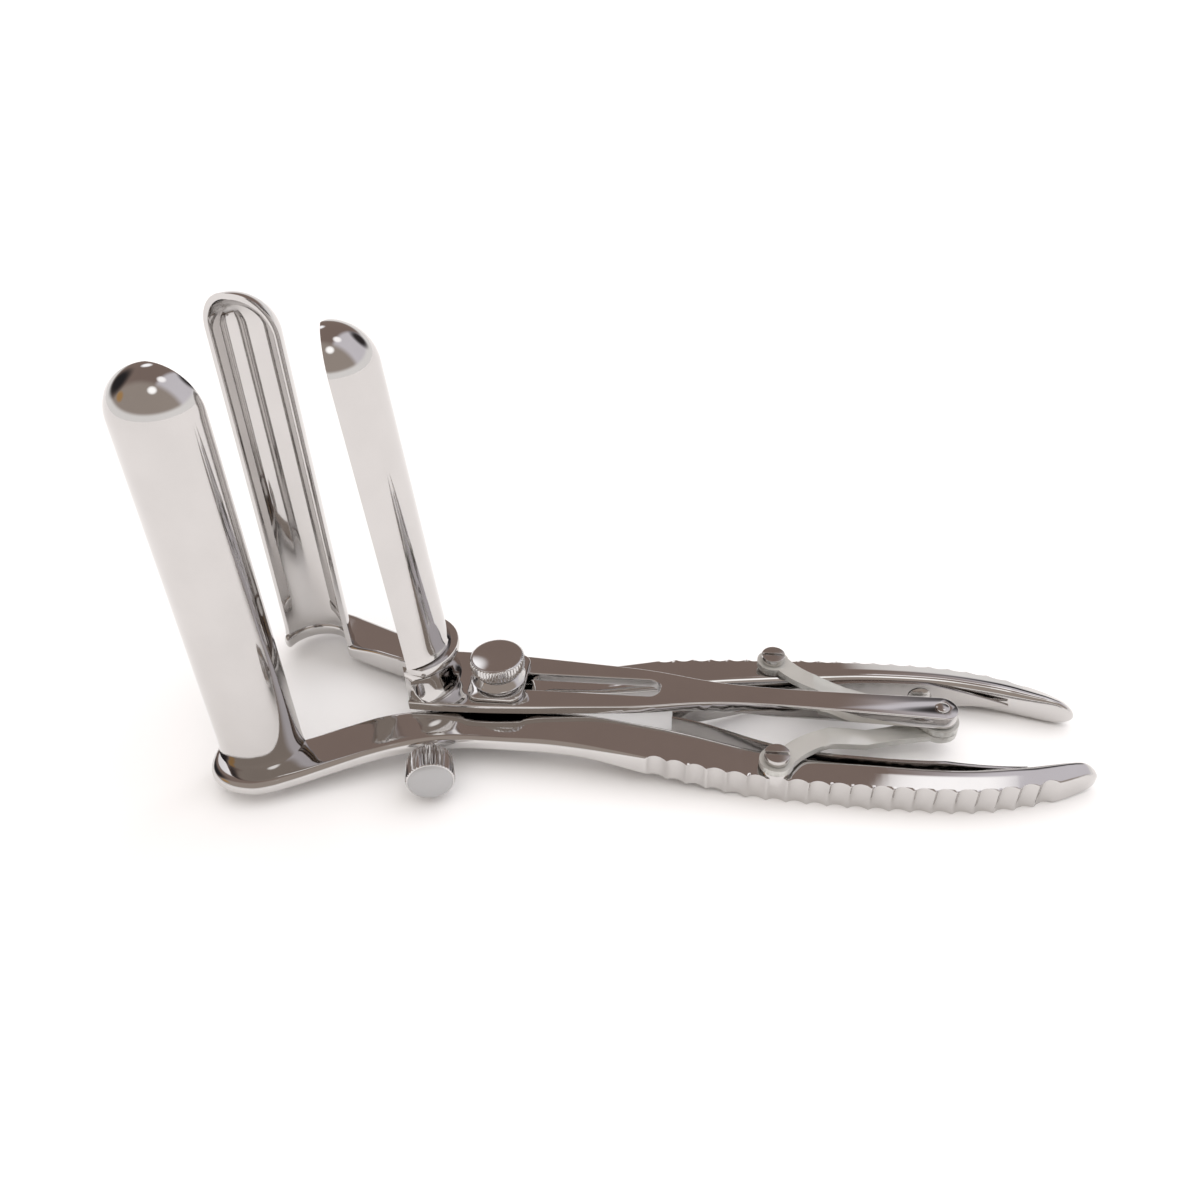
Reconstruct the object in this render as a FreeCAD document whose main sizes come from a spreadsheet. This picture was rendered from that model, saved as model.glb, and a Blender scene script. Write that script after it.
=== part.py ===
import FreeCAD, Part
import math
import os
from FreeCAD import Vector

# Three-bladed speculum, lying with its blades upward.
# Origin: pivot axis, at the level of the surface that it rests on.
# +X runs along the two handles, +Z is up along the blades, and Y = 0 is the
# plane that the slotted centre arm slides in.  All lengths are millimetres.

doc = FreeCAD.newDocument("speculum")
sheet = doc.addObject("Spreadsheet::Sheet", "sizes")

SIZES = {
    # levels, from the resting surface upward
    "lever_top": 7.0,
    "pad_under": 3.0,
    "handle_rise": 1.9,
    "far_lap_under": 1.5,
    "far_lap_top": 5.3,
    "near_lap_under": 5.45,
    "near_lap_top": 9.6,
    "near_lap_rise": 1.5,
    "boss_top": 11.3,
    "plate_under": 11.5,
    "plate_top": 14.0,
    "bracket_top": 24.3,
    "tail_under": 9.1,
    "tail_top": 12.4,
    # blades
    "blade_height": 95.7,
    "centre_blade_height": 79.3,
    "blade_base_radius": 10.1,
    "blade_tip_radius": 9.5,
    "blade_wall": 1.3,
    "side_blade_span": 156.7,
    "centre_blade_span": 147.0,
    "blade_lean": 1.2,
    "centre_blade_lean": 3.0,
    "side_blade_x": -54.9,
    "side_blade_y": 17.3,
    "side_blade_start": 2.0,
    "centre_blade_x": -21.8,
    # pivot, clamp and thumb nut
    "bolt_radius": 2.8,
    "bolt_bore_radius": 2.85,
    "bolt_head_radius": 6.0,
    "bolt_head_height": 1.4,
    "slot_half_width": 2.9,
    "saddle_length": 13.4,
    "saddle_width": 16.6,
    "saddle_height": 1.1,
    "saddle_cone_height": 1.7,
    "nut_radius": 6.55,
    "nut_neck_radius": 4.9,
    "nut_under": 17.1,
    "nut_top": 21.7,
    "nut_neck_height": 1.0,
    # links, their screws and the tail pin
    "link_screw_x": 66.4,
    "link_screw_y": 17.0,
    "tail_pin_x": 104.66,
    "link_thickness": 1.6,
    "link_under": 8.4,
    "link_seat_radius": 3.5,
    "near_eye_under": 5.5,
    "far_eye_under": 7.25,
    "link_eye_radius": 3.9,
    "tail_eye_radius": 4.4,
    "tail_eye_bore": 2.9,
    "tail_pin_radius": 1.3,
    "tail_pin_base_radius": 3.5,
    "tail_pin_base_height": 1.0,
    "tail_pin_head_radius": 1.7,
    "tail_pin_head_height": 0.6,
    "running_gap": 0.15,
    "link_screw_radius": 1.5,
    "link_screw_bore": 1.56,
    "link_screw_head_radius": 2.9,
    "link_screw_head_height": 1.9,
    # leaf springs and their rivets
    "spring_thickness": 0.8,
    "rivet_x": 102.6,
    "rivet_level": 4.2,
    "rivet_radius": 1.2,
    "rivet_bore": 1.25,
    "rivet_head_radius": 2.9,
    "rivet_head_gap": 0.16,
    "rivet_head_height": 1.2,
    "rivet_length": 7.2,
    # side thumbscrew
    "screw_x": -14.0,
    "screw_level": 7.5,
    "screw_skew": 16.0,
    "screw_radius": 1.5,
    "screw_bore": 1.55,
    "screw_tip_radius": 0.7,
    "screw_inside": 27.8,
    "screw_neck_gap": 2.3,
    "screw_neck_radius": 2.2,
    "screw_head_start": 4.2,
    "screw_head_back_radius": 5.0,
    "screw_head_radius": 5.7,
    "screw_head_end": 11.2,
    "screw_crown": 1.7,
    "lug_gap": 0.6,
    # grip flutes
    "flute_radius": 3.2,
    "flute_pitch": 4.55,
    "flute_depth": 0.75,
}
for row, (alias, value) in enumerate(SIZES.items(), start=1):
    sheet.set(f"A{row}", alias)
    sheet.set(f"B{row}", str(value))
    sheet.setAlias(f"B{row}", alias)
doc.recompute()


def size(alias):
    """The value of one cell of the sheet."""
    return float(sheet.get(alias))


def bind(obj, **expressions):
    """Tie properties of an object to formulas on the sheet's cells."""
    for prop, formula in expressions.items():
        obj.setExpression(prop, formula)


# ---------------------------------------------------------------- helpers
def closed_sketch(name, curves, upright=False):
    """A sketch on XY, or on XZ when upright, that holds the given curves."""
    sketch = doc.addObject("Sketcher::SketchObject", name)
    if upright:
        sketch.Placement = FreeCAD.Placement(
            Vector(0, 0, 0), FreeCAD.Rotation(Vector(1, 0, 0), 90))
    for curve in curves:
        sketch.addGeometry(curve, False)
    return sketch


def spline(points):
    """A smooth curve through points in the sketch's plane."""
    curve = Part.BSplineCurve()
    curve.interpolate([Vector(x, y, 0) for x, y in points])
    return curve


def line(start, end):
    return Part.LineSegment(Vector(*start, 0), Vector(*end, 0))


def arc(start, middle, end):
    return Part.Arc(Vector(*start, 0), Vector(*middle, 0), Vector(*end, 0))


def polygon(points):
    """Straight edges that join the points and close the loop."""
    return [line(a, b) for a, b in zip(points, points[1:] + points[:1])]


def extrusion(name, sketch, low, high, direction=(0, 0, 1)):
    """The sketch drawn out along direction between two levels, given as formulas."""
    solid = doc.addObject("Part::Extrusion", name)
    solid.Base = sketch
    solid.DirMode = "Custom"
    solid.Dir = Vector(*direction)
    solid.Solid = True
    bind(solid, LengthFwd=high, LengthRev=f"-({low})")
    return solid


def cylinder(name, radius, height, at=(0, 0, 0), axis=(0, 0, 1)):
    """A Part cylinder whose radius and height are formulas."""
    solid = doc.addObject("Part::Cylinder", name)
    bind(solid, Radius=radius, Height=height)
    solid.Placement = FreeCAD.Placement(
        Vector(*at), FreeCAD.Rotation(Vector(0, 0, 1), Vector(*axis)))
    return solid


def common(name, *shapes):
    solid = doc.addObject("Part::MultiCommon", name)
    solid.Shapes = list(shapes)
    return solid


def fuse(name, *shapes):
    solid = doc.addObject("Part::MultiFuse", name)
    solid.Shapes = list(shapes)
    solid.Refine = True
    return solid


def cut(name, base, tool):
    solid = doc.addObject("Part::Cut", name)
    solid.Base = base
    solid.Tool = tool
    return solid


def mirrored(name, source):
    """The source seen in a mirror at Y = 0."""
    solid = doc.addObject("Part::Mirroring", name)
    solid.Source = source
    solid.Normal = Vector(0, 1, 0)
    return solid


NODES = []


def node(obj, label):
    """Give a finished sub-part its name and list it for export."""
    obj.Label = label
    NODES.append(obj)
    return obj


# ------------------------------------------------------------ side blades
# Each blade is part of a slightly tapered shell of revolution that ends in a
# round nose, so that the blades close to a bullet-nosed tube.
def blade(label, height, lean, sweep, spin, foot, lean_axis):
    """A sector of the nosed shell; spin is where its first rim starts, in degrees."""
    base_r = size("blade_base_radius")
    tip_r = size("blade_tip_radius")
    wall = size("blade_wall")
    sunk = -1.0
    shoulder = size(height) - tip_r
    diagonal = math.sqrt(0.5)
    inner_tip = tip_r - wall
    profile = closed_sketch(f"{label}_profile", [
        line((base_r, sunk), (tip_r, shoulder)),
        arc((tip_r, shoulder), (tip_r * diagonal, shoulder + tip_r * diagonal),
            (0, shoulder + tip_r)),
        line((0, shoulder + tip_r), (0, shoulder + inner_tip)),
        arc((0, shoulder + inner_tip),
            (inner_tip * diagonal, shoulder + inner_tip * diagonal),
            (inner_tip, shoulder)),
        line((inner_tip, shoulder), (base_r - wall, sunk)),
        line((base_r - wall, sunk), (base_r, sunk)),
    ], upright=True)
    shell = doc.addObject("Part::Revolution", f"{label}_shell")
    shell.Source = profile
    shell.Axis = Vector(0, 0, 1)
    shell.Solid = True
    bind(shell, Angle=f"sizes.{sweep}")
    turn = FreeCAD.Rotation(Vector(0, 0, 1), spin)
    tilt = FreeCAD.Rotation(Vector(*lean_axis), size(lean))
    shell.Placement = FreeCAD.Placement(Vector(*foot), tilt.multiply(turn))
    above = doc.addObject("Part::Box", f"{label}_above_pad")
    above.Length, above.Width, above.Height = 60, 60, 120
    above.Placement.Base = Vector(foot[0] - 30, foot[1] - 30, foot[2])
    return node(common(f"{label}_solid", shell, above), label)


near_foot = (size("side_blade_x"), -size("side_blade_y"), size("lever_top"))
far_foot = (size("side_blade_x"), size("side_blade_y"), size("lever_top"))
centre_foot = (size("centre_blade_x"), 0, size("bracket_top"))
blade("near_blade", "blade_height", "blade_lean", "side_blade_span",
      -size("side_blade_start") - size("side_blade_span"), near_foot, (0, 1, 0))
blade("far_blade", "blade_height", "blade_lean", "side_blade_span",
      size("side_blade_start"), far_foot, (0, 1, 0))
blade("centre_blade", "centre_blade_height", "centre_blade_lean", "centre_blade_span",
      -size("centre_blade_span") / 2, centre_foot, (0, -1, 0))

# ----------------------------------------------------------------- levers
# The plan of the near lever: crescent pad under the blade, waist at the pivot,
# bowed handle.  The far lever is its mirror image.
pad_inner = size("blade_base_radius") - size("blade_wall")
near_axis = Vector(near_foot[0], near_foot[1], 0)


def on_pad(angle, radius=pad_inner):
    """A point at an angle, in degrees, round the near blade's axis."""
    a = math.radians(angle)
    return near_axis.x + radius * math.cos(a), near_axis.y + radius * math.sin(a)


PAD_TOE = on_pad(-160)
PAD_HEEL = on_pad(-6)
OUTER_EDGE = [(-65.2, -21.4), (-65.1, -24.8), (-63.7, -28.2), (-60.9, -30.9), (-57.0, -32.5),
              (-52.0, -32.8),
              (-45.0, -30.2), (-35.0, -25.6), (-25.0, -21.2), (-14.0, -17.5), (0.0, -16.0),
              (14.0, -16.1), (30.0, -17.6), (45.0, -19.3), (60.0, -20.5), (76.0, -21.3),
              (94.0, -21.6), (110.0, -20.8), (122.0, -18.2), (131.0, -14.6), (137.0, -11.3)]
HANDLE_TIP = [OUTER_EDGE[-1], (139.0, -9.6), (137.0, -8.7)]
INNER_EDGE = [HANDLE_TIP[-1], (128.0, -10.4), (118.0, -12.5), (104.0, -14.1), (90.0, -14.2),
              (76.0, -13.1), (60.0, -10.9), (40.0, -7.9), (22.0, -7.0), (12.0, -6.4)]
EYE_RADIUS = 8.6
eye_right = (EYE_RADIUS * math.cos(math.radians(-35)), EYE_RADIUS * math.sin(math.radians(-35)))
eye_left = (EYE_RADIUS * math.cos(math.radians(215)), EYE_RADIUS * math.sin(math.radians(215)))
JAW_EDGE = [(-11.0, -7.6), (-20.0, -9.2), (-30.0, -11.8), (-40.0, -15.0), (-46.0, -17.2)]

near_plan = closed_sketch("near_lever_plan", [
    line(PAD_TOE, OUTER_EDGE[0]),
    spline(OUTER_EDGE),
    arc(*HANDLE_TIP),
    spline(INNER_EDGE),
    line(INNER_EDGE[-1], eye_right),
    arc(eye_right, (0, EYE_RADIUS), eye_left),
    line(eye_left, JAW_EDGE[0]),
    spline(JAW_EDGE),
    line(JAW_EDGE[-1], PAD_HEEL),
    arc(PAD_HEEL, on_pad(-83), PAD_TOE),
])
# Sections across a lever, as seen from the handle: the top slopes up from the outer
# edge to the inner edge, and is level beyond that.  Both levers are cranked at the
# pivot so that they lap there.  Each row is X, outer Y, inner Y, the top's level at the
# outer edge, its rise to the inner edge, and the level of the underside.
top, under = size("lever_top"), size("pad_under")
rise, lap_rise = size("handle_rise"), size("near_lap_rise")
near_lap_low, near_lap_high = size("near_lap_under"), size("near_lap_top")
far_lap_low, far_lap_high = size("far_lap_under"), size("far_lap_top")
HANDLE_SECTIONS = [
    (62, -21.8, -11.2, top, 1.2, 0.0), (78, -22.5, -13.2, top, 1.2, 0.0),
    (88, -22.8, -14.0, top, rise, 0.0), (122, -19.5, -11.2, top, rise, 0.0),
    (134.5, -14.0, -8.8, 6.4, rise, 0.2), (140, -11.0, -7.0, 4.6, 1.0, 1.5)]
NEAR_SECTIONS = [
    (-75, -36.0, -10.0, top, 0.0, under), (-44.6, -32.0, -13.0, top, 0.0, under),
    (-26, -24.0, -10.0, near_lap_high - 0.4, lap_rise, near_lap_low),
    (-12, -18.0, -6.5, near_lap_high, lap_rise, near_lap_low),
    (24, -18.0, -6.8, near_lap_high, lap_rise, near_lap_low),
    (38, -19.5, -7.6, near_lap_high - 0.5, lap_rise, near_lap_low - 2.0), *HANDLE_SECTIONS]
FAR_SECTIONS = [
    (-75, -36.0, -10.0, top, 0.0, under), (-44.6, -32.0, -13.0, top, 0.0, under),
    (-38, -28.0, -11.5, top, 1.5, 2.2), (-27, -24.0, -9.5, top, 1.5, far_lap_low),
    (-13, -18.0, -6.5, far_lap_high, 0.0, far_lap_low),
    (24, -18.0, -6.8, far_lap_high, 0.0, far_lap_low),
    (40, -20.0, -8.0, top, 1.3, far_lap_low - 0.2), *HANDLE_SECTIONS]
BEYOND_OUTER, BEYOND_INNER = 3.0, 12.0


def section_wire(name, x, outer, inner, high, climb, low):
    """One closed section across a lever, wider than the lever on both sides."""
    slope = climb / (inner - outer)
    start = outer - BEYOND_OUTER
    corners = [(start, high - slope * BEYOND_OUTER), (inner, high + climb),
               (BEYOND_INNER, high + climb), (BEYOND_INNER, low), (inner, low), (start, low)]
    wire = doc.addObject("Part::Polygon", name)
    wire.Nodes = [Vector(x, y, z) for y, z in corners]
    wire.Close = True
    return wire


def sectioned(name, rows):
    """A bar through the sections, which trims the lever's plan to its levels."""
    solid = doc.addObject("Part::Loft", name)
    solid.Sections = [section_wire(f"{name}_{i}", *row) for i, row in enumerate(rows)]
    solid.Solid = True
    solid.Ruled = True
    return solid


def outer_edge_at(x):
    """Y of the near lever's outer edge at a given X, on the smooth curve."""
    curve = spline(OUTER_EDGE)
    first, last = curve.FirstParameter, curve.LastParameter
    for _ in range(40):
        middle = (first + last) / 2
        if curve.value(middle).x < x:
            first = middle
        else:
            last = middle
    return curve.value(first).y


FLUTES = 20
FLUTE_START = 39.5


def flutes(label):
    """Upright cylinders that scoop a row of finger flutes along the handle."""
    scoops = []
    for i in range(FLUTES):
        x = FLUTE_START + i * size("flute_pitch")
        edge = outer_edge_at(x)
        slope = (outer_edge_at(x + 0.5) - outer_edge_at(x - 0.5))
        away = Vector(slope, -1, 0).normalize()
        reach = size("flute_radius") - size("flute_depth")
        scoops.append(cylinder(f"{label}_{i + 1}", "sizes.flute_radius", "20",
                               at=(x + away.x * reach, edge + away.y * reach, -5)))
    return fuse(label, *scoops)


screw_angle = math.radians(size("screw_skew"))
screw_out = Vector(math.sin(screw_angle), -math.cos(screw_angle), 0)
screw_seat = Vector(size("screw_x"), outer_edge_at(size("screw_x")), size("screw_level"))

near_plank = extrusion("near_lever_plank", near_plan, "0", "20")
near_blank = common("near_lever_blank", near_plank,
                    sectioned("near_lever_sections", NEAR_SECTIONS))
boss_half = 6.8
boss = closed_sketch("pivot_boss_plan", [
    line((-14, -8.2), (24, -7.4)),
    arc((24, -7.4), (26.2, -5.2), (24, -3.0)),
    line((24, -3.0), (boss_half, 4.0)),
    arc((boss_half, 4.0), (0, 7.9), (-boss_half, 4.0)),
    line((-boss_half, 4.0), (-14, -2.6)),
    arc((-14, -2.6), (-16.8, -5.4), (-14, -8.2)),
])
near_boss = extrusion("pivot_boss", boss, "sizes.near_lap_top - 1", "sizes.boss_top")
# The boss stays inside the lever's own outline.
boss_plan_limit = extrusion("pivot_boss_limit", near_plan, "0", "sizes.boss_top")
link_seat = cylinder("link_seat", "sizes.link_seat_radius", "sizes.link_under - sizes.running_gap - 4",
                     at=(size("link_screw_x"), -size("link_screw_y"), 4))
near_raised = fuse("near_lever_raised", near_blank, link_seat,
                   common("pivot_boss_trimmed", near_boss, boss_plan_limit))


def lever_holes(label, side):
    """Bores for the pivot bolt, link screw and spring rivet; side is -1 near, 1 far."""
    return [
        cylinder(f"{label}_pivot_bore", "sizes.bolt_bore_radius", "40", at=(0, 0, -10)),
        cylinder(f"{label}_link_bore", "sizes.link_screw_bore", "20",
                 at=(size("link_screw_x"), side * size("link_screw_y"), 1.6)),
        cylinder(f"{label}_rivet_bore", "sizes.rivet_bore", "30",
                 at=(size("rivet_x"), side * 5, size("rivet_level")), axis=(0, side, 0)),
    ]


side_bore = cylinder("near_side_bore", "sizes.screw_bore", "40",
                     at=tuple(screw_seat + screw_out * 6), axis=tuple(-screw_out))
near_tools = fuse("near_lever_tools", *lever_holes("near", -1), side_bore, flutes("near_flute"))
near_lever = node(cut("near_lever_solid", near_raised, near_tools), "near_lever")

far_plank = extrusion("far_lever_plank", near_plan, "0", "20")
far_blank = mirrored("far_lever_blank", fuse(
    "far_lever_blank_source", link_seat,
    common("far_lever_trimmed", far_plank, sectioned("far_lever_sections", FAR_SECTIONS))))
# The lug that the side thumbscrew bears on.
LUG_LENGTH = 7.0
lug = doc.addObject("Part::Box", "far_lever_lug")
lug.Length, lug.Width = LUG_LENGTH, 4.6
bind(lug, Height="9.5 - sizes.far_lap_under")
lug_face = screw_seat - screw_out * (size("screw_inside") + size("lug_gap"))
lug_corner = lug_face + screw_out.cross(Vector(0, 0, 1)) * (LUG_LENGTH / 2)
lug.Placement = FreeCAD.Placement(
    Vector(lug_corner.x, lug_corner.y, size("far_lap_under")),
    FreeCAD.Rotation(Vector(0, 0, 1), size("screw_skew")))
far_tools = fuse("far_lever_tools", *lever_holes("far", 1),
                 mirrored("far_flutes", flutes("far_flute")))
far_lever = node(cut("far_lever_solid", fuse("far_lever_lugged", far_blank, lug), far_tools),
                 "far_lever")

# ------------------------------------------------- centre arm and bracket
ARM_EDGE = [(-20.5, 9.7), (6.0, 9.1), (24.0, 7.6), (38.0, 6.1), (46.0, 4.6), (54.0, 3.5),
            (64.0, 3.0), (76.0, 3.0), (90.0, 3.3), (104.66, 3.7)]
arm_end = size("tail_pin_x") + ARM_EDGE[-1][1]
arm_plan = closed_sketch("centre_arm_plan", [
    spline(ARM_EDGE),
    arc(ARM_EDGE[-1], (arm_end, 0), (ARM_EDGE[-1][0], -ARM_EDGE[-1][1])),
    spline([(x, -y) for x, y in reversed(ARM_EDGE)]),
    line((ARM_EDGE[0][0], -ARM_EDGE[0][1]), ARM_EDGE[0]),
])
plate_low, plate_high = size("plate_under"), size("plate_top")
TAIL_START, TAIL_END = 42, 112
arm_side = closed_sketch("centre_arm_side", polygon([
    (-30, plate_low), (-30, plate_high), (TAIL_START, plate_high), (TAIL_END, size("tail_top")),
    (TAIL_END, size("tail_under")), (66, size("tail_under") + 0.2), (44, plate_low),
]), upright=True)
SLOT_LEFT, SLOT_RIGHT = -4.2, 36.2
half = size("slot_half_width")
slot_plan = closed_sketch("centre_arm_slot", [
    line((SLOT_LEFT, -half), (SLOT_RIGHT, -half)),
    arc((SLOT_RIGHT, -half), (SLOT_RIGHT + half, 0), (SLOT_RIGHT, half)),
    line((SLOT_RIGHT, half), (SLOT_LEFT, half)),
    arc((SLOT_LEFT, half), (SLOT_LEFT - half, 0), (SLOT_LEFT, -half)),
])
arm_blank = common(
    "centre_arm_blank",
    extrusion("centre_arm_plank", arm_plan, "0", "sizes.plate_top"),
    extrusion("centre_arm_profile", arm_side, "-20", "20", direction=(0, 1, 0)))
arm_tools = fuse(
    "centre_arm_tools",
    extrusion("slot_tool", slot_plan, "0", "30"),
    cylinder("tail_pin_bore", "sizes.tail_pin_radius + 0.03", "20",
             at=(size("tail_pin_x"), 0, 0)))
centre_arm = node(cut("centre_arm_solid", arm_blank, arm_tools), "centre_arm")

# The bracket carries the centre blade; its hollow side carries on the blade's.
BRACKET_AXIS_X = -20.7
BRACKET_HALF_WIDTH = 9.9
BRACKET_RIM_HEIGHT = 2.4


def bracket_layer(label, radius, low, high):
    """One storey of the bracket: a round-fronted block cut off square at its sides."""
    front = cylinder(f"{label}_front", radius, f"{high} - {low}", at=(BRACKET_AXIS_X, 0, 0))
    front.setExpression("Placement.Base.z", low)
    block = doc.addObject("Part::Box", f"{label}_block")
    block.Length, block.Width, block.Height = 30, 2 * BRACKET_HALF_WIDTH, 60
    block.Placement.Base = Vector(-20.4, -BRACKET_HALF_WIDTH, 0)
    return common(label, front, block)


rim_low = f"(sizes.bracket_top - {BRACKET_RIM_HEIGHT})"
bracket_blank = fuse(
    "centre_bracket_blank",
    bracket_layer("bracket_column", "10.3", "sizes.plate_top", rim_low),
    bracket_layer("bracket_rim", "11.4", rim_low, "sizes.bracket_top"))
bracket_hollow = cylinder("bracket_hollow", "sizes.blade_base_radius - sizes.blade_wall", "60",
                          at=(size("centre_blade_x"), 0, 0))
node(cut("centre_bracket_solid", bracket_blank, bracket_hollow), "centre_bracket")

# ------------------------------------------- pivot bolt, saddle, thumb nut
bolt_head = cylinder("pivot_bolt_head", "sizes.bolt_head_radius", "sizes.bolt_head_height")
bolt_shank = cylinder("pivot_bolt_shank", "sizes.bolt_radius", "sizes.nut_top - 1.5")
node(fuse("pivot_bolt_solid", bolt_head, bolt_shank), "pivot_bolt")

saddle_foot = doc.addObject("Part::Box", "saddle_foot")
bind(saddle_foot, Length="sizes.saddle_length", Width="sizes.saddle_width",
     Height="sizes.saddle_height")
saddle_foot.Placement.Base = Vector(-size("saddle_length") / 2, -size("saddle_width") / 2,
                                    size("plate_top") + size("running_gap"))
saddle_cone = doc.addObject("Part::Cone", "saddle_cone")
bind(saddle_cone, Radius1="sizes.saddle_length / 2 - 0.3", Radius2="sizes.nut_neck_radius + 0.3",
     Height="sizes.saddle_cone_height")
saddle_cone.Placement.Base = Vector(0, 0, size("plate_top") + size("running_gap") + size("saddle_height"))
saddle_round = doc.addObject("Part::Fillet", "saddle_rounded")
saddle_round.Base = saddle_foot
doc.recompute()
corner_edges = [
    (i + 1, 3.0, 3.0) for i, edge in enumerate(saddle_foot.Shape.Edges)
    if abs(edge.tangentAt(edge.FirstParameter).z) > 0.99]
saddle_round.Edges = corner_edges
saddle_bore = cylinder("saddle_bore", "sizes.bolt_bore_radius", "40")
node(cut("clamp_saddle_solid", fuse("clamp_saddle_blank", saddle_round, saddle_cone), saddle_bore),
     "clamp_saddle")

nut_neck = cylinder("nut_neck", "sizes.nut_neck_radius", "sizes.nut_neck_height",
                    at=(0, 0, size("nut_under")))
nut_rim = cylinder("nut_rim", "sizes.nut_radius",
                   "sizes.nut_top - sizes.nut_under - sizes.nut_neck_height",
                   at=(0, 0, size("nut_under") + size("nut_neck_height")))
nut_bore = cylinder("nut_bore", "sizes.bolt_bore_radius", "sizes.nut_top - 1.3")
node(cut("thumb_nut_solid", fuse("thumb_nut_blank", nut_neck, nut_rim), nut_bore), "thumb_nut")

# --------------------------------------------------------- side thumbscrew
# A shank with a blunt cone tip, a flared neck and a knurled head with a crowned end.
inside, head_end = size("screw_inside"), size("screw_head_end")
neck_gap, head_start = size("screw_neck_gap"), size("screw_head_start")
shank_r, neck_r, tip_r = size("screw_radius"), size("screw_neck_radius"), size("screw_tip_radius")
head_r, crown = size("screw_head_radius"), size("screw_crown")
crown_radius = (head_r ** 2 + crown ** 2) / (2 * crown)
halfway = math.asin(head_r / crown_radius) / 2
crown_middle = (crown_radius * math.sin(halfway),
                head_end + crown - crown_radius * (1 - math.cos(halfway)))
outline = [(0, -inside), (tip_r, -inside), (shank_r, -inside + 1.4), (shank_r, neck_gap),
           (neck_r, neck_gap), (size("screw_head_back_radius"), head_start), (head_r, head_end)]
screw_profile = closed_sketch("side_screw_profile", [
    *[line(a, b) for a, b in zip(outline, outline[1:])],
    arc(outline[-1], crown_middle, (0, head_end + crown)),
    line((0, head_end + crown), outline[0]),
], upright=True)
side_screw = doc.addObject("Part::Revolution", "side_screw_solid")
side_screw.Source = screw_profile
side_screw.Axis = Vector(0, 0, 1)
side_screw.Solid = True
side_screw.Angle = 360
side_screw.Placement = FreeCAD.Placement(
    screw_seat, FreeCAD.Rotation(Vector(0, 0, 1), screw_out))
node(side_screw, "side_screw")


# ------------------------------------------------------------------- links
def link_plan(name):
    """S-curved strap between the lever's screw and the tail pin, near side."""
    sx, sy = size("link_screw_x"), -size("link_screw_y")
    tx = size("tail_pin_x")
    low = [(sx + 2.6, sy - 2.9), (76.0, -12.6), (84.0, -9.2), (92.0, -6.6), (tx - 2.0, -3.9)]
    high = [(tx - 3.4, 2.8), (93.0, -1.6), (84.0, -4.1), (75.0, -7.6), (sx + 1.2, sy + 3.7)]
    return closed_sketch(name, [
        spline(low), line(low[-1], high[0]), spline(high), line(high[-1], low[0])])


def link(label, side, eye_low, drop_start, drop_end):
    """A link with a screw eye on the lever's top that drops to a tail eye at eye_low."""
    sx, sy, tx = size("link_screw_x"), -size("link_screw_y"), size("tail_pin_x")
    thick = "sizes.link_thickness"
    high_strap = closed_sketch(f"{label}_side", polygon([
        (60, size("link_under")), (60, size("link_under") + size("link_thickness")),
        (drop_start, size("link_under") + size("link_thickness")),
        (drop_end, eye_low + size("link_thickness")), (112, eye_low + size("link_thickness")),
        (112, eye_low), (drop_end, eye_low), (drop_start, size("link_under")),
    ]), upright=True)
    plank = extrusion(f"{label}_plank", link_plan(f"{label}_plan"), "0", "20")
    side_view = extrusion(f"{label}_profile", high_strap, "-30", "30", direction=(0, 1, 0))
    strap = common(f"{label}_strap", plank, side_view)
    eye = cylinder(f"{label}_eye", "sizes.link_eye_radius", thick, at=(sx, sy, size("link_under")))
    tail = cylinder(f"{label}_tail", "sizes.tail_eye_radius", thick, at=(tx, 0, eye_low))
    blank = fuse(f"{label}_blank", strap, eye, tail)
    bores = fuse(
        f"{label}_bores",
        cylinder(f"{label}_screw_bore", "sizes.link_screw_bore", "30", at=(sx, sy, 0)),
        cylinder(f"{label}_tail_bore", "sizes.tail_eye_bore", "30", at=(tx, 0, 0)))
    solid = cut(f"{label}_solid", blank, bores)
    return node(mirrored(f"{label}_far", solid) if side > 0 else solid, label)


link("near_link", -1, size("near_eye_under"), 78.5, 87.5)
link("far_link", 1, size("far_eye_under"), 76.5, 84.0)


def link_screw(label, side):
    """Slotted pan-head screw that the link turns on."""
    at_x, at_y = size("link_screw_x"), side * size("link_screw_y")
    head_low = size("link_under") + size("link_thickness") + 0.1
    shank = cylinder(f"{label}_shank", "sizes.link_screw_radius", f"{head_low} - 2",
                     at=(at_x, at_y, 2.0))
    head = cylinder(f"{label}_head", "sizes.link_screw_head_radius",
                    "sizes.link_screw_head_height", at=(at_x, at_y, head_low))
    driver_slot = doc.addObject("Part::Box", f"{label}_slot")
    driver_slot.Length, driver_slot.Width, driver_slot.Height = 8, 0.8, 2
    driver_slot.Placement.Base = Vector(
        at_x - 4, at_y - 0.4, head_low + size("link_screw_head_height") - 0.9)
    return node(cut(f"{label}_solid", fuse(f"{label}_blank", shank, head), driver_slot), label)


link_screw("near_link_screw", -1)
link_screw("far_link_screw", 1)

pin_x = size("tail_pin_x")
pin_foot = size("near_eye_under") - 1.2
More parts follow.
